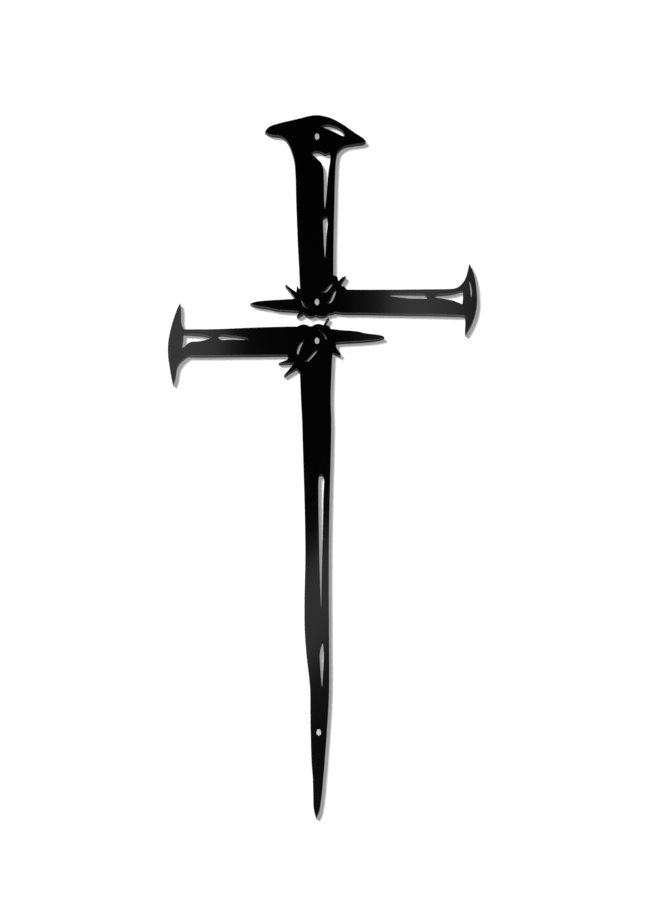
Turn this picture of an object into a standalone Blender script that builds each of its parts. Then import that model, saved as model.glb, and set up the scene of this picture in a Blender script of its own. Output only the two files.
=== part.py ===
# A wall cross of two flat steel plates, cut to look like nails bound together with thorns.
#
# The upper plate is a short upright nail with its head at the top, crossed by a whole nail with its
# head on the right. The lower plate is a long nail that points down, crossed by a whole nail with its
# head on the left. Each plate hangs on two screws, and a narrow gap parts them at the crossing.
#
# Metres, +Z up. The backs of the plates lie on y = 0, against the wall, and the fronts face -Y.
# The origin is on the back of the upper plate, midway between its two screw holes.

import math

import bmesh
import bpy
from mathutils import Vector
from mathutils.geometry import delaunay_2d_cdt, intersect_point_line

# Driving sizes, in metres
cross_height = 0.610
cross_width = 0.257
plate_thickness = 0.00635
screw_hole_width = 0.0042
screw_hole_height = 0.0063
slit_width = 0.0024
fine_slit_width = 0.0014

# Colour and finish of the powder coat
coat_colour = (0.012, 0.012, 0.013, 1.0)
coat_roughness = 0.42

# The outlines are drawn on squared paper: a point is (squares right, squares up) from the origin.
# The whole cross covers this many squares, so the plates follow its height and width.
squares_wide = 308.7
squares_tall = 701.3
square_width = cross_width / squares_wide
square_height = cross_height / squares_tall

# A curve is drawn with this many steps between two of its points. Then each step that leaves the
# curve within this distance, in metres, is dropped.
steps_in_span = 10
facet_tolerance = 0.00006
smallest_step = 0.00005


def on_sheet(point):
    """Turn a point of the squared paper into metres on the sheet."""
    return Vector((point[0] * square_width, point[1] * square_height))


def smooth_curve(points):
    """Draw a smooth curve through points, corner to corner (a centripetal Catmull-Rom curve)."""
    if len(points) < 3:
        return list(points)
    before = points[0] * 2 - points[1]
    after = points[-1] * 2 - points[-2]
    guides = [before, *points, after]
    curve = []
    for p0, p1, p2, p3 in zip(guides, guides[1:], guides[2:], guides[3:]):
        t1 = math.sqrt((p1 - p0).length)
        t2 = t1 + math.sqrt((p2 - p1).length)
        t3 = t2 + math.sqrt((p3 - p2).length)
        for step in range(steps_in_span):
            t = t1 + (t2 - t1) * step / steps_in_span
            a1 = p0.lerp(p1, t / t1)
            a2 = p1.lerp(p2, (t - t1) / (t2 - t1))
            a3 = p2.lerp(p3, (t - t2) / (t3 - t2))
            b1 = a1.lerp(a2, t / t2)
            b2 = a2.lerp(a3, (t - t1) / (t3 - t1))
            curve.append(b1.lerp(b2, (t - t1) / (t2 - t1)))
    return curve + [points[-1]]


def outline(*strokes):
    """Close strokes into one outline. Each is a smooth curve that ends where the next one starts."""
    closed = []
    for stroke, following in zip(strokes, strokes[1:] + strokes[:1]):
        points = [on_sheet(point) for point in [*stroke, following[0]]]
        closed += smooth_curve(points)[:-1]
    return closed


def thorn(left_root, tip, right_root, hollow=0.1, blunt=0.5, buried=0.2):
    """A spike on two roots, with a tip that is a little blunt.

    Its sides are hollowed by a share of its half width, and a share of its length is buried."""
    left_root, tip, right_root = (Vector(point) for point in (left_root, tip, right_root))
    middle = (left_root + right_root) / 2
    axis = (middle + tip) / 2
    left_side, right_side = (((root + tip) / 2).lerp(axis, hollow) for root in (left_root, right_root))
    across = (right_root - left_root).normalized() * blunt / 2
    foot = middle.lerp(tip, -buried)
    return outline([left_root, left_side], [tip - across], [tip + across, right_side], [right_root], [foot])


def lump(centre, radius, corners=48):
    """A round swelling where the binding thorns pass over an edge."""
    turns = [math.tau * corner / corners for corner in range(corners)]
    return [
        on_sheet((centre[0] + radius * math.cos(turn), centre[1] + radius * math.sin(turn)))
        for turn in turns
    ]


def screw_hole(centre, corners=28):
    """An upright oval hole for a screw."""
    middle = on_sheet(centre)
    turns = [math.tau * corner / corners for corner in range(corners)]
    return [
        middle + Vector((math.cos(turn) * screw_hole_width, math.sin(turn) * screw_hole_height)) / 2
        for turn in turns
    ]


def slit(points, width):
    """A narrow cut along a curve, pointed at both ends."""
    line = smooth_curve([on_sheet(point) for point in points])
    last = len(line) - 1
    left, right = [], []
    for place in range(1, last):
        along = (line[place + 1] - line[place - 1]).normalized()
        across = Vector((-along.y, along.x))
        half = width / 2 * (1 - abs(2 * place / last - 1) ** 6)
        left.append(line[place] + across * half)
        right.append(line[place] - across * half)
    return [line[0], *left, line[-1], *reversed(right)]


def top_nail():
    return outline(
        # Over the head, from its left lobe to the tip on the right
        [(-52, 88.3), (-50.8, 91), (-47, 94.1), (-37, 97.3), (-17, 102), (-7, 104.6), (1, 105.2),
         (10, 103.6), (19, 99.9), (29, 93.8), (38, 87.3), (46.8, 81.5)],
        # Under the head and down the right side of the shank
        [(49, 79), (46.5, 77), (40, 76.2), (34, 75.3), (27.5, 73.9), (23, 70.9), (20.2, 67),
         (18.6, 56), (17.9, 40), (17.4, 19), (16.4, -31)],
        [(16.4, -75)],
        # Up the left side of the shank and out under the left lobe
        [(-16.7, -75), (-17.7, -51), (-18.8, -31), (-20.8, 19), (-21.4, 44), (-22.7, 60.2),
         (-24.7, 67.4), (-27.5, 74.7), (-32, 81.4), (-37, 84.4), (-45, 85.2), (-49.5, 86.7)],
    )


def right_nail():
    return outline(
        # Along the top, from the point on the left to the flare of the head
        [(-66.5, -85.2), (-62, -83.5), (-57, -82.7), (-37, -81.3), (-23, -80.4)],
        [(0, -76)],
        [(29, -71.2), (43, -71.3), (83, -71.2), (123, -70.7), (136, -70.4), (140, -69.3),
         (143.3, -67.1), (146, -64.2), (148.1, -60.7), (149.9, -56.3), (151, -51.5)],
        # Round the outside of the head
        [(152.4, -45.2), (155.3, -51.3), (157.9, -60.3), (159.6, -73), (159.9, -84),
         (158.8, -92), (156.4, -100.5), (153, -108)],
        [(148.2, -116), (147.8, -113), (148.3, -106), (148.2, -100.5), (147.4, -97)],
        # Back along the bottom
        [(145.5, -96.7), (123, -96), (83, -95.3), (43, -94.6), (22, -94.2)],
        [(0, -90)],
        [(-18.5, -92.8), (-27, -92.1), (-40.5, -91.1), (-47.5, -89.3), (-57, -88),
         (-62.5, -86.8)],
    )


def upper_binding():
    """The bound crossing of the upper plate, with its swellings and thorns."""
    knot = outline(
        [(-20.3, -74)], [(-17, -70)], [(16, -58)], [(21.4, -62.3)], [(24, -66.8)], [(28, -72)],
        [(24, -92.6)], [(-17.5, -91.4)], [(-21.5, -81.5)],
    )
    swellings = [
        lump((-6.4, -90.2), 8), lump((4.3, -87.5), 10.7), lump((13.5, -89.2), 6),
        lump((17.4, -60.6), 3.7), lump((24.5, -73), 5.5),
    ]
    thorns = [
        thorn((-20.6, -74), (-19.9, -67.8), (-16.4, -71.9)),
        thorn((-21.6, -79.8), (-31.4, -66.5), (-20.4, -74), hollow=0, blunt=1.3),
        outline([(24.3, -67)], [(24.4, -64.6), (26, -61.9), (27.7, -59.4)],
                [(28.9, -57.5), (27, -57.9), (25, -58.9), (23.3, -60.6)], [(21.7, -63)], [(21, -68)]),
        outline([(-16.9, -92.8)], [(-20.1, -97.8), (-19.7, -98.2)], [(-13.2, -94.8)], [(-12, -91)]),
    ]
    return [knot, *swellings, *thorns]


def upper_cuts():
    crescent = outline(
        [(3.7, 93.7), (8, 95.5), (13, 95.3), (18, 94), (23, 91.3), (26.3, 88)],
        [(28, 84.2), (25.4, 84.2), (20, 87), (14.5, 89.7), (8.5, 91.9)],
    )
    neck_window = outline(
        [(-5.7, 66.3), (-3.2, 68.4), (0, 68.9), (3.6, 68)],
        [(7.6, 65.8), (10, 66.6)],
        [(13, 67.1), (13.5, 64), (13, 58), (11.3, 47), (10.4, 37), (9.7, 27), (8.7, 16)],
        [(7.7, 10.5), (7.2, 19), (7, 40), (6.3, 51), (4.4, 57), (0.5, 60.7)],
    )
    shank_slot = outline(
        [(5.8, 0.6), (8, 2.4)],
        [(10, 3.1), (10.8, -1), (10.5, -8), (9.4, -19), (8.8, -32)],
        [(8, -41), (7.1, -30), (6.1, -8)],
    )
    arm_slot = outline(
        [(68.3, -76.1), (74, -75), (91, -75)],
        [(107, -75.2), (109.6, -77)],
        [(110.3, -80.2), (91, -79.8), (81, -78.8), (72, -77.4)],
    )
    head_window = outline(
        [(115.5, -77.2), (120, -75.9), (129, -75.3), (136, -74.4), (141, -72.7)],
        [(145.9, -71.8), (146, -78)],
        [(145.3, -85.7), (142, -84.5), (137, -82.3), (130, -80.8), (122, -79.8), (117, -78.7)],
    )
    head_slit = [(152, -60), (153, -65), (153.8, -69), (154.2, -73.5), (153.9, -79.5)]
    upper_slit = [(15.8, -63.2), (12, -69), (8.7, -72.4), (4.2, -73.8)]
    middle_slit = [(18.7, -70.2), (17.1, -75.6), (15.1, -80.6), (13.1, -83.4), (9.8, -84.6)]
    left_slit = [(-16, -79.4), (-14.7, -83.7), (-12.9, -87.2), (-10.9, -89.3), (-7.9, -90.1)]
    return [
        crescent, neck_window, shank_slot, arm_slot, head_window,
        slit(head_slit, fine_slit_width),
        slit(upper_slit, slit_width),
        slit(middle_slit, slit_width),
        slit(left_slit, fine_slit_width),
        screw_hole((0, 83.6)),
        screw_hole((0, -83.6)),
    ]


def long_nail():
    return outline(
        [(-17, -136)],
        # Down the left side to the point
        [(-16.9, -154), (-15.9, -180), (-14.8, -201), (-13.6, -241), (-12.3, -281), (-11.6, -315),
         (-11.4, -341), (-12.3, -384), (-12, -411), (-9.9, -438), (-7.5, -458), (-6.5, -472),
         (-6.4, -490), (-5.9, -521), (-5.1, -543), (-3.9, -557), (-3.6, -573), (-3, -587)],
        # Up the right side
        [(-0.7, -596.1), (2.2, -590), (3.6, -582.5), (5.1, -571), (6.8, -552), (9.7, -514),
         (11.8, -479), (12.2, -455), (12, -420), (11.7, -373), (11.8, -334), (12.3, -294),
         (13.8, -235), (14.3, -206), (13.6, -178), (14.2, -158)],
        [(15.2, -134)],
    )


def left_nail():
    return outline(
        # Along the top, from the flare of the head to the point on the right
        [(-132.4, -111.2), (-102, -111), (-67, -109.5), (-37, -108.6), (-20.5, -108.4)],
        [(16.5, -111), (22.5, -111.8), (40.5, -113.2), (48.5, -115.2), (58.5, -116.3), (64.5, -117.3)],
        [(67.2, -118.8), (64.6, -120), (58.5, -121.3), (47.5, -122.5), (36, -123.2), (24.5, -123.8)],
        [(18.8, -124.4)],
        # Back along the bottom and down the inside of the head
        [(-29, -136.5), (-67, -136.8), (-127, -137.2)],
        [(-128, -137), (-131.2, -138.5), (-136.3, -143.2), (-138.9, -146.8), (-140.3, -152),
         (-141.2, -159)],
        # Up the outside of the head
        [(-143.4, -165.7), (-144.5, -162), (-147, -148), (-148.5, -138), (-148.8, -130),
         (-148.2, -122), (-146.7, -114), (-144.8, -106), (-142.3, -98), (-139, -89)],
        [(-136.6, -84.9), (-135.9, -91.5), (-135.8, -103), (-134.3, -109)],
    )


def lower_binding():
    """The bound crossing of the lower plate, with its swellings and thorns."""
    knot = outline(
        [(-29, -134.5)], [(-28.9, -141.6)], [(-23, -144.8)], [(-20.6, -149.8)], [(-16.8, -153.8)],
        [(14.3, -153)], [(15.4, -134)], [(19, -129)], [(18.7, -122)], [(15.5, -112)], [(-4.3, -108)],
        [(-8.7, -108.1)], [(-20, -110)],
    )
    swellings = [lump((-13.5, -115.6), 9.5), lump((1.3, -115.2), 9.6), lump((9.8, -110.6), 3.6)]
    thorns = [
        outline([(6.3, -107.6)], [(7.5, -104.8), (9.3, -102)], [(11.4, -99.2), (12, -99.5)],
                [(10.9, -101.6), (9.3, -104.2)], [(8.7, -107.6)], [(7.4, -110)]),
        thorn((-23.4, -144.6), (-37.9, -145), (-28.8, -141.3)),
        thorn((-20.3, -150.2), (-32.6, -157.4), (-23.2, -145.5)),
        outline([(18.6, -126)], [(19.1, -129.6)], [(23.5, -135.6), (23.3, -136.8)], [(22, -137)],
                [(15, -133.8)]),
    ]
    return [knot, *swellings, *thorns]


def lower_cuts():
    head_window = outline(
        [(-133.5, -115.3), (-127, -115.5), (-117, -116.2), (-110, -117.2)],
        [(-103.6, -119.3), (-107.5, -120.7), (-116, -122.8), (-120.5, -123.4), (-125, -123.4),
         (-129, -125.2), (-132.5, -128.9)],
        [(-134.8, -129.9), (-134.3, -126), (-133.4, -121)],
    )
    arm_slot = outline(
        [(-99, -119), (-98, -116.7), (-87, -117.2), (-76.5, -118.4)],
        [(-69.2, -119.9)],
        [(-68.7, -121.6), (-77, -121.7), (-87, -121.4), (-97, -121.5)],
    )
    long_slot = outline(
        [(1.7, -259.5), (2.7, -256.4), (4.8, -256.2), (6.6, -258.2)],
        [(7.2, -262), (6.3, -281), (5.7, -316), (4.9, -350)],
        [(4.1, -391), (2.6, -345), (1.8, -300), (1.5, -270)],
    )
    leaf = outline(
        [(5.9, -421.7), (3.8, -427.3), (2.7, -435), (3.2, -447), (4.2, -461)],
        [(5.2, -470), (6.3, -452), (6.9, -437), (6.7, -427.5)],
    )
    right_slit = [(1.5, -111.7), (4.5, -113.8), (7, -116.3), (9, -119.2), (9.9, -121.7)]
    left_slit = [(-12.5, -121.7), (-15.6, -125), (-17.6, -128.8), (-18.7, -132.4), (-19.3, -137)]
    lower_slit = [(1.9, -130.2), (-1.5, -133.5), (-4.6, -137.1), (-7.6, -140.6), (-9.9, -142.5),
                  (-12, -143.2)]
    return [
        head_window, arm_slot, long_slot, leaf,
        slit(right_slit, fine_slit_width),
        slit(left_slit, slit_width),
        slit(lower_slit, slit_width),
        screw_hole((0, -122.6)),
        screw_hole((1.9, -512.8)),
    ]


def turns_left(loop):
    """Twice the area inside a loop of points, positive where it runs anticlockwise."""
    return sum(a.x * b.y - b.x * a.y for a, b in zip(loop, loop[1:] + loop[:1]))


def simplified(loop):
    """Drop the points of a closed loop that lie within the facet tolerance of their neighbours."""

    def thin(points):
        if len(points) < 3:
            return points
        offsets = []
        for point in points[1:-1]:
            nearest, _ = intersect_point_line(point, points[0], points[-1])
            offsets.append((point - Vector(nearest[:2])).length)
        worst = max(range(len(offsets)), key=offsets.__getitem__)
        if offsets[worst] < facet_tolerance:
            return [points[0], points[-1]]
        return thin(points[: worst + 2])[:-1] + thin(points[worst + 1:])

    far = max(range(len(loop)), key=lambda place: (loop[place] - loop[0]).length)
    return thin(loop[: far + 1])[:-1] + thin(loop[far:] + loop[:1])[:-1]


def without_short_steps(loop):
    """Drop points that nearly coincide with the one before."""
    kept = [loop[0]]
    for point in loop[1:]:
        if (point - kept[-1]).length > smallest_step:
            kept.append(point)
    if (kept[-1] - kept[0]).length <= smallest_step:
        kept.pop()
    return kept


def filled(solids, cuts):
    """Triangles of the sheet that lie in any of the solids and in none of the cuts."""
    points, faces = [], []
    for loop in [*solids, *cuts]:
        if turns_left(loop) < 0:
            loop = loop[::-1]
        faces.append(list(range(len(points), len(points) + len(loop))))
        points += loop
    corners, _, triangles, _, _, sources = delaunay_2d_cdt(points, [], faces, 1, 1e-7, True)
    kept = [
        triangle for triangle, inside in zip(triangles, sources)
        if any(face < len(solids) for face in inside)
        and not any(face >= len(solids) for face in inside)
    ]
    return corners, kept


def rims(corners, triangles):
    """The closed loops of points that bound the triangles, the sheet on their left."""
    sides = {(a, b) for tri in triangles for a, b in zip(tri, tri[1:] + tri[:1])}
    following = {a: b for a, b in sides if (b, a) not in sides}
    loops = []
    while following:
        start, point = following.popitem()
        loop = [start]
        while point != start:
            loop.append(point)
            point = following.pop(point)
        loops.append([corners[place] for place in loop])
    return loops


def cut_plate(name, shapes, cuts, coat):
    """Cut one plate from the sheet and stand it up, its back on y = 0 and its front towards -Y."""
    loops = [without_short_steps(simplified(loop)) for loop in rims(*filled(shapes, cuts))]
    outer = max(loops, key=turns_left)
    windows = [loop for loop in loops if loop is not outer]
    corners, triangles = filled([outer], windows)

    mesh = bmesh.new()
    front = [mesh.verts.new((corner.x, -plate_thickness, corner.y)) for corner in corners]
    back = [mesh.verts.new((corner.x, 0, corner.y)) for corner in corners]
    sides = {(a, b) for tri in triangles for a, b in zip(tri, tri[1:] + tri[:1])}
    for tri in triangles:
        mesh.faces.new([front[corner] for corner in tri])
        mesh.faces.new([back[corner] for corner in reversed(tri)])
    for a, b in sorted(sides):
        if (b, a) not in sides:
            mesh.faces.new((front[b], front[a], back[a], back[b]))
    data = bpy.data.meshes.new(name)
    mesh.to_mesh(data)
    mesh.free()
    data.materials.append(coat)
    plate = bpy.data.objects.new(name, data)
    bpy.context.collection.objects.link(plate)
    return plate


def powder_coat():
    coat = bpy.data.materials.new("black_powder_coat")
    coat.use_nodes = True
    shader = coat.node_tree.nodes["Principled BSDF"]
    shader.inputs["Base Color"].default_value = coat_colour
    shader.inputs["Roughness"].default_value = coat_roughness
    shader.inputs["Metallic"].default_value = 0.0
    return coat


for old in list(bpy.data.objects):
    bpy.data.objects.remove(old, do_unlink=True)

black_coat = powder_coat()
cut_plate("upper_plate", [top_nail(), right_nail(), *upper_binding()], upper_cuts(), black_coat)
cut_plate("lower_plate", [long_nail(), left_nail(), *lower_binding()], lower_cuts(), black_coat)
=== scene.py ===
# Wall cross of two cut plates in satin black powder coat, hung on a white wall.
# Metres, +Z up. The plates' backs lie on y = 0 against the wall, the fronts face -Y.
import math

import bmesh
import bpy
import numpy as np
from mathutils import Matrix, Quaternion, Vector
from mathutils.geometry import delaunay_2d_cdt


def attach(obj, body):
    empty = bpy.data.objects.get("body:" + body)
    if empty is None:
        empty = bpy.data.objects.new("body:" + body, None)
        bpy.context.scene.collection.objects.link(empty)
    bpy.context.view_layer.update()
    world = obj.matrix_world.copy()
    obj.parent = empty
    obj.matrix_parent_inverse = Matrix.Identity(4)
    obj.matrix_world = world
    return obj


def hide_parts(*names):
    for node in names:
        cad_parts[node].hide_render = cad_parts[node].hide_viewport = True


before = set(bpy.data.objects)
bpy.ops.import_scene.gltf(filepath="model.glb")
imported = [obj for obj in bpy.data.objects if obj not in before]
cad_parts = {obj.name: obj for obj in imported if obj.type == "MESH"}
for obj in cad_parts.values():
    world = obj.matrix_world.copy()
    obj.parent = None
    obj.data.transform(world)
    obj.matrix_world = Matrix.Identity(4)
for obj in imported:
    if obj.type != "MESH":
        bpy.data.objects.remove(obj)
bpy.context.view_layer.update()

scene = bpy.context.scene


# One output of a node, so that sums on it read as sums and add their Math nodes
class Wire:
    def __init__(self, board, socket):
        self.board = board
        self.socket = socket

    def maths(self, operation, first, second=0.0):
        return self.board.put("ShaderNodeMath", {"operation": operation}, {0: first, 1: second})

    def __add__(self, other):
        return self.maths("ADD", self, other)

    def __radd__(self, other):
        return self.maths("ADD", other, self)

    def __sub__(self, other):
        return self.maths("SUBTRACT", self, other)

    def __rsub__(self, other):
        return self.maths("SUBTRACT", other, self)

    def __mul__(self, other):
        return self.maths("MULTIPLY", self, other)

    def __rmul__(self, other):
        return self.maths("MULTIPLY", other, self)

    def __truediv__(self, other):
        return self.maths("DIVIDE", self, other)

    def __pow__(self, other):
        return self.maths("POWER", self, other)

    def __neg__(self):
        return self.maths("MULTIPLY", self, -1.0)

    def atMost(self, other):
        return self.maths("MINIMUM", self, other)

    def atLeast(self, other):
        return self.maths("MAXIMUM", self, other)

    # 0 below low, 1 above high, with a soft step between them
    def rise(self, low, high):
        return self.board.put(
            "ShaderNodeMapRange",
            {"interpolation_type": "SMOOTHSTEP"},
            {"Value": self, "From Min": low, "From Max": high, "To Min": 0.0, "To Max": 1.0},
        )

    # Another output of the same node
    def also(self, name):
        return Wire(self.board, self.board.find(self.socket.node.outputs, name))


# A node tree that nodes are put on: type, settings first, then the sockets' values or wires
class Board:
    def __init__(self, tree):
        self.tree = tree

    def find(self, sockets, key):
        if isinstance(key, int):
            return sockets[key]
        return next(socket for socket in sockets if socket.name == key and socket.enabled)

    def join(self, value, socket):
        if isinstance(value, Wire):
            self.tree.links.new(value.socket, socket)
        else:
            socket.default_value = value

    def put(self, kind, settings=None, sockets=None, out=None):
        node = self.tree.nodes.new(kind)
        for name, value in (settings or {}).items():
            setattr(node, name, value)
        for key, value in (sockets or {}).items():
            self.join(value, self.find(node.inputs, key))
        if not node.outputs:
            return None
        if out is None:
            return Wire(self, next(socket for socket in node.outputs if socket.enabled))
        return Wire(self, self.find(node.outputs, out))


plateCut = {
    "columnSpacing": 0.0006,    # along a cut edge, between two columns of points
    "sharpTurn": 26.0,          # degrees; an outline keeps a corner that turns more than this
    "easingPasses": 10,         # smooths the short facets of the outline
    "easingShare": 0.5,         # of the way to its neighbours' middle that a point moves in a pass
    "coatBuild": 0.00012,       # how far the coat stands out from the outer edge and into narrow slits
    "slitWidth": 0.0023,        # an opening narrower than this on average counts as a slit
    "smallestGap": 0.0015,      # the coat closes a gap that is smaller than this each way
    "rimRadius": 0.00026,       # the coat rounds the front rim
    "backRimRadius": 0.00015,   # and the back rim a little
    "rimRings": (0.1, 0.34, 0.66, 1.0),    # where the rings of points lie, in shares of the rim radius
    "ringSlack": 0.93,          # a ring's point is dropped if another edge is nearer than this share
    "coatSlack": 0.9,           # the same for the coat that stands out from an edge
    "middleSteps": 10,          # tries to find the middle of a place narrower than its two rims
    "leastReach": 0.00005,      # a middle nearer to the edge than this gets no point
    "boreSize": 0.008,          # a hole smaller than this each way is a screw hole
    "wallRows": 8,              # rows of points through the thickness
    "ridgeDepth": 0.00007,      # drag lines that the cut leaves in the edge, under the coat
    "ridgePitch": 0.0016,
    "ridgeLean": 0.45,          # how far the drag lines lean over the thickness
    "seed": 11,
}


sameSpot = 1e-6       # points of the solid nearer than this are one
sameDepth = 1e-5      # a point this near the front plane lies in it
onEdge = 2e-6         # a point of the sheet this near an outline lies on it
pointsAtOnce = 400    # keeps the table of points against steps small


# Closed outlines of a plate's front, the metal on their left, as points (x, z)
def outlineLoops(node):
    body = bmesh.new()
    body.from_mesh(node.data)
    bmesh.ops.remove_doubles(body, verts=body.verts, dist=sameSpot)
    frontY = min(vert.co.y for vert in body.verts)
    sides = set()
    for face in body.faces:
        if all(abs(vert.co.y - frontY) < sameDepth for vert in face.verts):
            ring = [vert.index for vert in face.verts]
            sides.update(zip(ring, ring[1:] + ring[:1]))
    body.verts.ensure_lookup_table()
    following = {a: b for a, b in sides if (b, a) not in sides}
    loops = []
    while following:
        first = min(following)
        point = following.pop(first)
        loop = [first]
        while point != first:
            loop.append(point)
            point = following.pop(point)
        loops.append(np.array([[body.verts[i].co.x, body.verts[i].co.z] for i in loop]))
    depth = max(vert.co.y for vert in body.verts) - frontY
    body.free()
    loops.sort(key=lambda loop: -np.ptp(loop[:, 0]) * np.ptp(loop[:, 1]))
    return loops, depth


# Points evenly along an outline, its facets eased into curves and its real corners kept
def easedLoop(loop, cut):
    before, after = np.roll(loop, 1, axis=0), np.roll(loop, -1, axis=0)
    come, leave = loop - before, after - loop
    turn = np.degrees(np.abs(np.arctan2(
        come[:, 0] * leave[:, 1] - come[:, 1] * leave[:, 0], (come * leave).sum(axis=1))))
    points, fixed = [], []
    for place, (start, end) in enumerate(zip(loop, after)):
        count = max(1, int(math.ceil(np.linalg.norm(end - start) / cut["columnSpacing"])))
        for step in range(count):
            points.append(start + (end - start) * step / count)
            fixed.append(step == 0 and turn[place] > cut["sharpTurn"])
    points, free = np.array(points), ~np.array(fixed)
    for _ in range(cut["easingPasses"]):
        middle = (np.roll(points, 1, axis=0) + np.roll(points, -1, axis=0)) / 2
        points[free] += (middle[free] - points[free]) * cut["easingShare"]
    return points


# Distance of points from the outline, how far along it the nearest place is, and in which step
def nearestOnOutline(points, loops):
    starts = np.concatenate(loops)
    ends = np.concatenate([np.roll(loop, -1, axis=0) for loop in loops])
    runs = ends - starts
    lengths = np.linalg.norm(runs, axis=1)
    along = np.concatenate([[0.0], np.cumsum(lengths)[:-1]])
    gaps, places, steps = [], [], []
    for chunk in np.array_split(points, max(1, len(points) // pointsAtOnce)):
        away = chunk[:, None, :] - starts[None, :, :]
        share = np.clip((away * runs).sum(axis=2) / lengths ** 2, 0, 1)
        gap = np.linalg.norm(away - share[..., None] * runs, axis=2)
        best = gap.argmin(axis=1)
        rows = np.arange(len(chunk))
        gaps.append(gap[rows, best])
        places.append(along[best] + share[rows, best] * lengths[best])
        steps.append(best)
    return np.concatenate(gaps), np.concatenate(places), np.concatenate(steps)


# The way out of the metal at each point of an outline, and how much further a corner has to step
def outwardFrom(loop):
    come = loop - np.roll(loop, 1, axis=0)
    leave = np.roll(loop, -1, axis=0) - loop
    come /= np.linalg.norm(come, axis=1)[:, None]
    leave /= np.linalg.norm(leave, axis=1)[:, None]
    side = np.stack([come[:, 1] + leave[:, 1], -come[:, 0] - leave[:, 0]], axis=1)
    size = np.linalg.norm(side, axis=1)
    bend = come[:, 0] * leave[:, 1] - come[:, 1] * leave[:, 0]
    return side / size[:, None], np.where(bend > 0, np.minimum(2 / size, 5), 1.0)


# The plate's sheet, flat on y = 0, with rings of points where the coat rounds the rim
def rimmedSheet(name, node, cut):
    rough, depth = outlineLoops(node)
    loops = [easedLoop(loop, cut) for loop in rough if np.ptp(loop, axis=0).max() > cut["smallestGap"]]
    print(name, "small gaps closed by the coat", len(rough) - len(loops))
    bare = list(loops)
    for place, loop in enumerate(bare):
        ahead = np.roll(loop, -1, axis=0)
        area = abs((loop[:, 0] * ahead[:, 1] - loop[:, 1] * ahead[:, 0]).sum()) / 2
        width = 2 * area / np.linalg.norm(ahead - loop, axis=1).sum()
        isBore = max(np.ptp(loop[:, 0]), np.ptp(loop[:, 1])) < cut["boreSize"]
        if place == 0 or width < cut["slitWidth"] or isBore:
            coated = loop + outwardFrom(loop)[0] * cut["coatBuild"]
            clear = nearestOnOutline(coated, bare)[0] > cut["coatBuild"] * cut["coatSlack"]
            loops[place] = coated[clear]    # in a tight notch the coat meets itself
    outward, scale = (np.concatenate(part) for part in zip(*[outwardFrom(loop) for loop in loops]))
    points = np.concatenate(loops)
    faces, links, start = [], [], 0
    for loop in loops:
        ring = list(range(start, start + len(loop)))
        faces.append(ring if start == 0 else ring[::-1])
        start += len(loop)
    allPoints = [points]
    count = len(points)
    for share in cut["rimRings"]:
        inset = cut["rimRadius"] * share
        ring = points - outward * (inset * scale)[:, None]
        gap = nearestOnOutline(ring, loops)[0]
        kept = gap > inset * cut["ringSlack"]
        places = np.full(len(ring), -1)
        places[kept] = count + np.arange(kept.sum())
        first = 0
        for loop in loops:
            ids = places[first:first + len(loop)]
            links += [(int(a), int(b)) for a, b in zip(ids, np.roll(ids, -1)) if a >= 0 and b >= 0]
            first += len(loop)
        allPoints.append(ring[kept])
        count += int(kept.sum())
    # Where the plate is narrower than its two rims, the last ring gives way to points along its middle
    thin = np.flatnonzero(~kept)
    reach = np.zeros(len(thin))
    for step in np.linspace(1 / cut["middleSteps"], 1.0, cut["middleSteps"]) * inset:
        gap = nearestOnOutline(points[thin] - outward[thin] * step, loops)[0]
        reach = np.where(gap > step * cut["ringSlack"], step, reach)
    allPoints.append((points[thin] - outward[thin] * reach[:, None])[reach > cut["leastReach"]])
    flat = np.concatenate(allPoints)
    spots, _, triangles, _, _, sources = delaunay_2d_cdt(
        [Vector(point) for point in flat], links, faces, 1, 1e-7, True)
    inside = [tri for tri, source in zip(triangles, sources) if 0 in source and len(source) == 1]
    spots = np.array([tuple(spot) for spot in spots])
    gap, place, closest = nearestOnOutline(spots, loops)
    gap[gap < onEdge] = 0.0
    small = np.array([max(np.ptp(loop[:, 0]), np.ptp(loop[:, 1])) < cut["boreSize"] for loop in loops])
    bore = np.repeat(small, [len(loop) for loop in loops])[closest] * (gap == 0.0)
    sheet = bpy.data.meshes.new(name)
    sheet.from_pydata([(x, 0.0, z) for x, z in spots], [], inside)
    for label, values in (("edgeDistance", gap), ("alongEdge", place), ("bareBore", bore)):
        sheet.attributes.new(label, "FLOAT", "POINT").data.foreach_set("value", values.astype(np.float32))
    lean = np.zeros((len(spots), 3), np.float32)
    lean[:, 0], lean[:, 2] = outward[closest, 0], outward[closest, 1]
    sheet.attributes.new("outward", "FLOAT_VECTOR", "POINT").data.foreach_set("vector", lean.ravel())
    print(name, "outlines", len(loops), "points", len(spots), "triangles", len(inside))
    return sheet, depth


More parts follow.
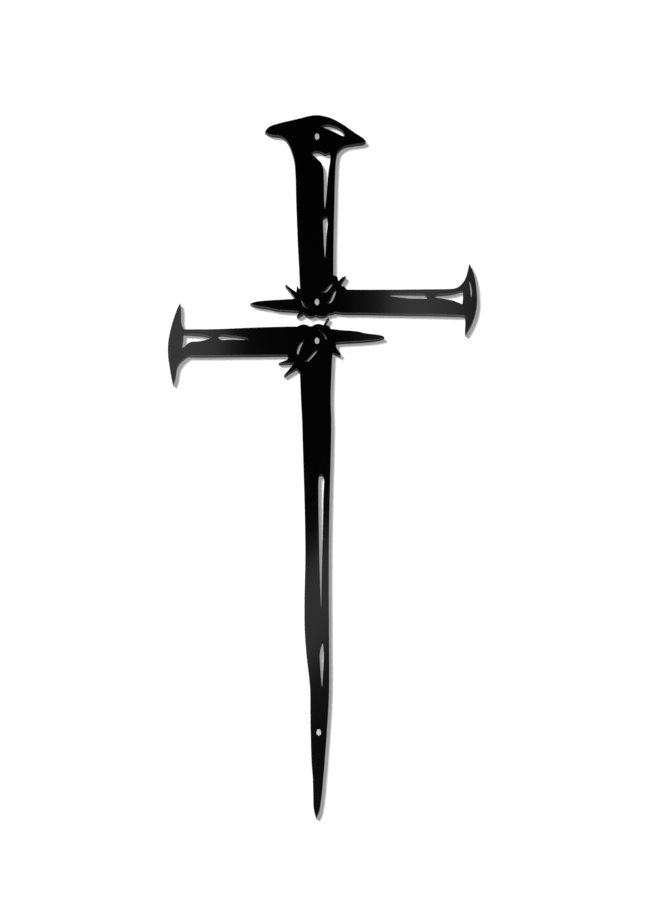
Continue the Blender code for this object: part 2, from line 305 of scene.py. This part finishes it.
# Turns a sheet into a plate: front, back, and the cut edges drawn between them
def plateTree():
    fadeRate = 5.0             # the drag lines fade over the fifth of the edge next to each rim
    depthDrift = 0.55          # how much the drag lines change through the thickness
    mergeDistance = 1.5e-6     # joins front, back and edges along the rims
    tree = bpy.data.node_groups.new("cutPlate", "GeometryNodeTree")
    face = tree.interface
    face.new_socket(name="Sheet", in_out="INPUT", socket_type="NodeSocketGeometry")
    for label in ("Thickness", "Rim Radius", "Back Rim Radius", "Ridge Depth", "Ridge Pitch", "Ridge Lean"):
        face.new_socket(name=label, in_out="INPUT", socket_type="NodeSocketFloat")
    for label in ("Wall Rows", "Seed"):
        face.new_socket(name=label, in_out="INPUT", socket_type="NodeSocketInt")
    face.new_socket(name="Coat", in_out="INPUT", socket_type="NodeSocketMaterial")
    face.new_socket(name="Plate", in_out="OUTPUT", socket_type="NodeSocketGeometry")

    board = Board(tree)
    given = board.put("NodeGroupInput", out="Sheet")
    thickness, rim, backRim = given.also("Thickness"), given.also("Rim Radius"), given.also("Back Rim Radius")

    def stored(label, kind="FLOAT"):
        return board.put("GeometryNodeInputNamedAttribute", {"data_type": kind}, {"Name": label})

    edgeDistance = stored("edgeDistance")
    alongEdge = stored("alongEdge")
    outward = stored("outward", "FLOAT_VECTOR")

    def roundedDrop(radius):    # quarter round from the rim to the flat
        short = radius - edgeDistance.atMost(radius)
        return radius - (radius * radius - short * short).atLeast(0.0) ** 0.5

    def movedBy(shape, y):
        offset = board.put("ShaderNodeCombineXYZ", {}, {"Y": y})
        return board.put("GeometryNodeSetPosition", {}, {"Geometry": shape, "Offset": offset})

    front = movedBy(given, roundedDrop(rim) - thickness)
    back = board.put("GeometryNodeFlipFaces", {}, {"Mesh": movedBy(given, -roundedDrop(backRim))})

    # The wall is drawn down from the outline, a row at a time
    faceCount = board.put("GeometryNodeInputMeshEdgeNeighbors")
    onOutline = board.put(
        "FunctionNodeCompare", {"data_type": "INT", "operation": "EQUAL"}, {"A": faceCount, "B": 1})
    rimLine = board.put(
        "GeometryNodeSeparateGeometry", {"domain": "EDGE"}, {"Geometry": given, "Selection": onOutline})
    rimLine = movedBy(rimLine, rim - thickness)
    rows = given.also("Wall Rows")
    wallHeight = thickness - rim - backRim
    rowStep = board.put("ShaderNodeCombineXYZ", {}, {"Y": wallHeight / rows})
    opening = tree.nodes.new("GeometryNodeRepeatInput")
    closing = tree.nodes.new("GeometryNodeRepeatOutput")
    opening.pair_with_output(closing)
    closing.repeat_items.new("BOOLEAN", "Top")
    board.join(rows, opening.inputs["Iterations"])
    board.join(rimLine, opening.inputs["Geometry"])
    opening.inputs["Top"].default_value = True
    drawn = board.put(
        "GeometryNodeExtrudeMesh", {"mode": "EDGES"},
        {"Mesh": Wire(board, opening.outputs["Geometry"]), "Selection": Wire(board, opening.outputs["Top"]),
         "Offset": rowStep, "Offset Scale": 1.0})
    board.join(drawn, closing.inputs["Geometry"])
    board.join(drawn.also("Top"), closing.inputs["Top"])
    wall = Wire(board, closing.outputs["Geometry"])

    # Drag lines of the cut: noise along the edge, leaning with depth, gone at both rims
    spot = board.put("GeometryNodeInputPosition")
    y = board.put("ShaderNodeSeparateXYZ", {}, {"Vector": spot}, out="Y")
    share = (y + thickness - rim) / wallHeight
    across = (alongEdge + share * share * thickness * given.also("Ridge Lean")) / given.also("Ridge Pitch")
    lines = board.put("ShaderNodeCombineXYZ", {}, {"X": across, "Y": share * depthDrift})
    noise = board.put(
        "ShaderNodeTexNoise", {"noise_dimensions": "4D"},
        {"Vector": lines, "W": given.also("Seed"), "Scale": 1.0, "Detail": 2.0, "Roughness": 0.6})
    fade = (share * fadeRate).atMost(1.0) * ((1.0 - share) * fadeRate).atMost(1.0)
    ridge = 2.0 * (noise - 0.5) * given.also("Ridge Depth") * fade.atLeast(0.0)
    push = board.put("ShaderNodeVectorMath", {"operation": "SCALE"}, {"Vector": outward, "Scale": ridge})
    wall = board.put("GeometryNodeSetPosition", {}, {"Geometry": wall, "Offset": push})

    whole = tree.nodes.new("GeometryNodeJoinGeometry")
    for part in (front, back, wall):
        tree.links.new(part.socket, whole.inputs[0])
    whole = Wire(board, whole.outputs[0])
    whole = board.put("GeometryNodeMergeByDistance", {}, {"Geometry": whole, "Distance": mergeDistance})
    whole = board.put("GeometryNodeSetShadeSmooth", {}, {"Geometry": whole, "Shade Smooth": True})
    whole = board.put("GeometryNodeRealizeInstances", {}, {"Geometry": whole})
    whole = board.put("GeometryNodeSetMaterial", {}, {"Geometry": whole, "Material": given.also("Coat")})
    last = tree.nodes.new("NodeGroupOutput")
    tree.links.new(whole.socket, last.inputs[0])
    return tree


def cutPlate(name, node, cut, tree, coat):
    sheet, depth = rimmedSheet(name + "Sheet", node, cut)
    maker = bpy.data.objects.new(name + "Maker", sheet)
    scene.collection.objects.link(maker)
    modifier = maker.modifiers.new("cutPlate", "NODES")
    modifier.node_group = tree
    sockets = {item.name: item.identifier for item in tree.interface.items_tree
               if item.item_type == "SOCKET" and item.in_out == "INPUT"}
    for label, value in (
        ("Thickness", depth),
        ("Rim Radius", cut["rimRadius"]),
        ("Back Rim Radius", cut["backRimRadius"]),
        ("Ridge Depth", cut["ridgeDepth"]),
        ("Ridge Pitch", cut["ridgePitch"]),
        ("Ridge Lean", cut["ridgeLean"]),
        ("Wall Rows", cut["wallRows"]),
        ("Seed", cut["seed"]),
        ("Coat", coat),
    ):
        modifier[sockets[label]] = value
    evaluated = maker.evaluated_get(bpy.context.evaluated_depsgraph_get())
    mesh = bpy.data.meshes.new_from_object(evaluated)
    bpy.data.objects.remove(maker)
    body = bmesh.new()
    body.from_mesh(mesh)
    bmesh.ops.recalc_face_normals(body, faces=body.faces)
    gaps = sum(not edge.is_manifold for edge in body.edges)
    body.to_mesh(mesh)
    body.free()
    mesh.name = name
    plate = bpy.data.objects.new(name, mesh)
    scene.collection.objects.link(plate)
    weighted = plate.modifiers.new("evenShading", "WEIGHTED_NORMAL")
    weighted.mode = "FACE_AREA"
    weighted.weight = 100
    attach(plate, "root")
    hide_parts(node.name)
    print(name, "faces", len(mesh.polygons), "open edges", gaps)
    return plate


powderCoat = {
    "colour": (0.0006, 0.0006, 0.00065, 1.0),
    "thinColour": (0.006, 0.006, 0.0063, 1.0),    # where the coat draws thin over a sharp rim
    "rimWidth": 0.00024,        # less than the rim radius, so the flat front keeps the full coat
    "backColour": (0.004, 0.004, 0.0042, 1.0),
    "steelColour": (0.94, 0.94, 0.93, 1.0),       # the screw holes were cleared after coating
    "steelRoughness": 0.22,
    "roughness": 0.27,
    "backRoughness": 0.48,
    "edgeShadeShare": 0.58,       # share of its gloss that the coat loses on the cut edges, a painted shade that darkens them
    "endShadeLift": 0.45,           # and how much less painted shade the cut edges get at the ends of the arms
    "peelSize": 0.0017,         # of the orange peel
    "peelHeight": 0.000005,
    "grainSize": 0.00035,       # of the powder's own grain
    "grainHeight": 0.0000015,
    "cloudSize": 0.045,         # slow drift of the gloss over the plate
    "cloudDrift": 0.03,
    "fleckSize": 0.0009,        # duller specks in the coat
    "fleckDullness": 0.02,
    "edgeRoughness": 0.04,      # added on the cut edges
    "rimGloss": 0.03,           # taken off on the rim
    "thinPatchSize": 0.004,     # of the places where the coat draws thin
    "fleckCover": (0.66, 0.74),     # of the noise: below the first there is none, above the second all
    "thinCover": (0.42, 0.7),
    "rimStart": 0.00003,        # this near the outline the coat is at its thinnest
    "backDepths": (-0.0004, -0.0001),    # y, where the finish turns into the back's
    "edgeDepths": (-0.0061, -0.0057),    # y, where the front's turns into the cut edges'
    "armEnds": (0.04, 0.10),    # distance from the middle, where the painted shade on the cut edges lifts again
}


def powderCoatMaterial(finish):
    coat = bpy.data.materials.new("satinPowderCoat")
    coat.use_nodes = True
    coat.node_tree.nodes.clear()
    board = Board(coat.node_tree)
    place = board.put("ShaderNodeTexCoord", out="Object")
    depthY = board.put("ShaderNodeSeparateXYZ", {}, {"Vector": place}, out="Y")
    edgeDistance = board.put("ShaderNodeAttribute", {"attribute_name": "edgeDistance"}, out="Fac")

    def noise(size, detail=2.0, roughness=0.5):
        return board.put(
            "ShaderNodeTexNoise", {"noise_dimensions": "3D"},
            {"Vector": place, "Scale": 1 / size, "Detail": detail, "Roughness": roughness})

    onBack = depthY.rise(*finish["backDepths"])
    onWall = depthY.rise(*finish["edgeDepths"]) * (1.0 - onBack)
    rim = 1.0 - edgeDistance.rise(finish["rimStart"], finish["rimWidth"])
    rim = rim * (1.0 - onWall) * (1.0 - onBack)
    clouds = noise(finish["cloudSize"], 3.0)
    peel = noise(finish["peelSize"], 2.0, 0.45)
    grain = noise(finish["grainSize"], 1.0)
    flecks = noise(finish["fleckSize"], 3.0, 0.7).rise(*finish["fleckCover"])

    def mixed(share, first, second):
        return board.put(
            "ShaderNodeMix", {"data_type": "RGBA", "clamp_factor": True},
            {"Factor": share, "A": first, "B": second})

    thinPatches = noise(finish["thinPatchSize"], 3.0).rise(*finish["thinCover"])
    colour = mixed(rim * thinPatches, finish["colour"], finish["thinColour"])
    colour = mixed(onBack, colour, finish["backColour"])
    roughness = finish["roughness"] + (clouds - 0.5) * finish["cloudDrift"] + flecks * finish["fleckDullness"]
    roughness = roughness + onWall * finish["edgeRoughness"] - rim * finish["rimGloss"]
    roughness = roughness + onBack * (finish["backRoughness"] - finish["roughness"])
    bare = board.put("ShaderNodeAttribute", {"attribute_name": "bareBore"}, out="Fac").rise(0.3, 0.7)
    colour = mixed(bare, colour, finish["steelColour"])
    roughness = roughness + bare * (finish["steelRoughness"] - finish["roughness"])
    height = (peel * finish["peelHeight"] + grain * finish["grainHeight"]) * 1000.0    # in millimetres
    bump = board.put("ShaderNodeBump", {}, {"Height": height, "Strength": 1.0, "Distance": 0.001})
    shader = board.put(
        "ShaderNodeBsdfPrincipled", {},
        {"Base Color": colour, "Roughness": roughness, "Metallic": bare, "IOR": 1.5, "Normal": bump})
    # Painted shade on the cut edges: a copy of the coat without gloss is mixed in, most of all about the
    # crossing
    shadedEdgeCoat = board.put(
        "ShaderNodeBsdfPrincipled", {},
        {"Base Color": finish["colour"], "Roughness": finish["backRoughness"], "Specular IOR Level": 0.0})
    sideX = board.put("ShaderNodeSeparateXYZ", {}, {"Vector": place}, out="X")
    farOut = sideX.maths("ABSOLUTE", sideX).rise(*finish["armEnds"])
    # how much of the gloss-less copy, the painted shade, each cut edge gets
    edgeShade = onWall * (1.0 - bare) * (finish["edgeShadeShare"] - farOut * finish["endShadeLift"])
    shader = board.put("ShaderNodeMixShader", {}, {0: edgeShade, 1: shader, 2: shadedEdgeCoat})
    board.put("ShaderNodeOutputMaterial", {}, {"Surface": shader})
    return coat


coat = powderCoatMaterial(powderCoat)
tree = plateTree()
upperPlate = cutPlate("upperPlate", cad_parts["upper_plate"], plateCut, tree, coat)
lowerPlate = cutPlate("lowerPlate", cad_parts["lower_plate"], plateCut, tree, coat)
print("plates cut")


room = {
    "wallGap": 0.0003,          # between the plates' backs and the wall
    "wallHalfSize": 1.3,
    "wallDrop": 0.2,            # its middle lies this far below the origin
    "wallWhite": 0.85,
    "wallGlow": 0.335,          # the white wall is lit from behind as well
    "floorHeight": -3.9,
    "floorHalfSize": 45.0,
    "floorWhite": 0.85,
    "floorGlow": 0.45,
    "surround": 0.80,           # what shows beyond the wall
}


def flatStage(name, corners, white, glow, seenFromBehind):
    mesh = bpy.data.meshes.new(name)
    mesh.from_pydata(corners, [], [(0, 1, 2, 3)])
    material = bpy.data.materials.new(name + "Paint")
    material.use_nodes = True
    material.node_tree.nodes.clear()
    board = Board(material.node_tree)
    paint = board.put("ShaderNodeBsdfDiffuse", {}, {"Color": (white, white, white, 1.0)})
    light = board.put("ShaderNodeEmission", {}, {"Strength": glow})
    paint = board.put("ShaderNodeAddShader", {}, {0: paint, 1: light})
    if not seenFromBehind:
        behind = board.put("ShaderNodeNewGeometry", out="Backfacing")
        clear = board.put("ShaderNodeBsdfTransparent")
        paint = board.put("ShaderNodeMixShader", {}, {0: behind, 1: paint, 2: clear})
    board.put("ShaderNodeOutputMaterial", {}, {"Surface": paint})
    mesh.materials.append(material)
    stage = bpy.data.objects.new(name, mesh)
    scene.collection.objects.link(stage)
    return stage


half, gap = room["wallHalfSize"], room["wallGap"]
foot, top = -half - room["wallDrop"], half - room["wallDrop"]
wall = flatStage(
    "wall", [(-half, gap, foot), (half, gap, foot), (half, gap, top), (-half, gap, top)],
    room["wallWhite"], room["wallGlow"], False)
wall.visible_shadow = False
half, low = room["floorHalfSize"], room["floorHeight"]
floor = flatStage(
    "floor", [(-half, -half, low), (half, -half, low), (half, half, low), (-half, half, low)],
    room["floorWhite"], room["floorGlow"], True)
floor.visible_diffuse = False
floor.visible_glossy = False

world = bpy.data.worlds.new("studio")
scene.world = world
world.use_nodes = True
world.node_tree.nodes["Background"].inputs["Color"].default_value = (1.0, 1.0, 1.0, 1.0)
world.node_tree.nodes["Background"].inputs["Strength"].default_value = room["surround"]
world.cycles_visibility.diffuse = False
world.cycles_visibility.glossy = False    # the gloss shows the cards below instead

keyLight = {
    "right": 0.46,              # slopes of its rays from the wall's normal
    "down": 0.34,
    "angle": 14.0,              # degrees; a wider light softens the shadow's rim
    "strength": 3.05,
}
sun = bpy.data.lights.new("key", "SUN")
sun.energy = keyLight["strength"]
sun.angle = math.radians(keyLight["angle"])
key = bpy.data.objects.new("key", sun)
key.rotation_euler = Vector((keyLight["right"], 1.0, -keyLight["down"])).to_track_quat("-Z", "Y").to_euler()
scene.collection.objects.link(key)
key.visible_glossy = False

# Cards that only the gloss sees: centre, the way they face, width, height, turn in degrees, brightness
cards = {
    "leftCard": ((-0.1775, -0.10, -0.065), (0, 1, 0), 0.20, 0.26, 0.0, 0.95),
    "rightCard": ((0.092, -0.165, -0.020), (1.0, 0.5, 0), 0.14, 0.28, 0.0, 1.05),
    "shaftCard": ((0.0, -0.10, -0.307), (0, 1, 0), 0.26, 0.060, 50.0, 0.74),
    "footCard": ((0.0, -0.12, -0.46), (0, 1, 0), 0.24, 0.13, 0.0, 0.03),
    "knotCard": ((0.047, -0.12, -0.020), (0, 1, 0), 0.030, 0.12, 0.0, 0.12),
    "shankCard": ((0.0, -0.12, -0.374), (0, 1, 0), 0.24, 0.050, 0.0, 0.10),
    "lowLeftCard": ((-0.135, -0.20, -0.60), (0, 0.25, 1), 0.13, 0.34, 0.0, 7.0),
    "lowRightCard": ((0.115, -0.20, -0.60), (0, 0.25, 1), 0.11, 0.34, 0.0, 7.0),
    "backCard": ((-1.4, 2.4, 0.9), (0.5, -1, -0.35), 1.6, 1.6, 0.0, 3.0),
    "sideCard": ((2.6, -0.5, 0.6), (-1, 0.1, -0.25), 1.4, 1.4, 0.0, 2.5),
}
for name, (centre, facing, width, height, turn, bright) in cards.items():
    lamp = bpy.data.lights.new(name, "AREA")
    lamp.shape = "RECTANGLE"
    lamp.size, lamp.size_y = width, height
    lamp.energy = bright * math.pi * width * height
    card = bpy.data.objects.new(name, lamp)
    card.location = centre
    card.rotation_mode = "QUATERNION"
    card.rotation_quaternion = (
        Vector(facing).to_track_quat("-Z", "Y") @ Quaternion((0, 0, 1), math.radians(turn)))
    scene.collection.objects.link(card)
    card.visible_camera = False
    card.visible_diffuse = False
print("room lit")


view = {
    "aim": (0.01082, -0.00635, -0.20195),
    "pitch": 17.6,
    "distance": 12.0,
    "frameHeight": 0.7463,
}
pitch = math.radians(view["pitch"])
lens = bpy.data.cameras.new("camera")
lens.lens = 36.0 * view["distance"] / view["frameHeight"]
lens.clip_end = 60.0
camera = bpy.data.objects.new("camera", lens)
look = Vector((0.0, math.cos(pitch), math.sin(pitch)))
camera.location = Vector(view["aim"]) - look * view["distance"]
camera.rotation_euler = look.to_track_quat("-Z", "Y").to_euler()
scene.collection.objects.link(camera)
scene.camera = camera
scene.view_settings.view_transform = "Standard"
print("camera set")
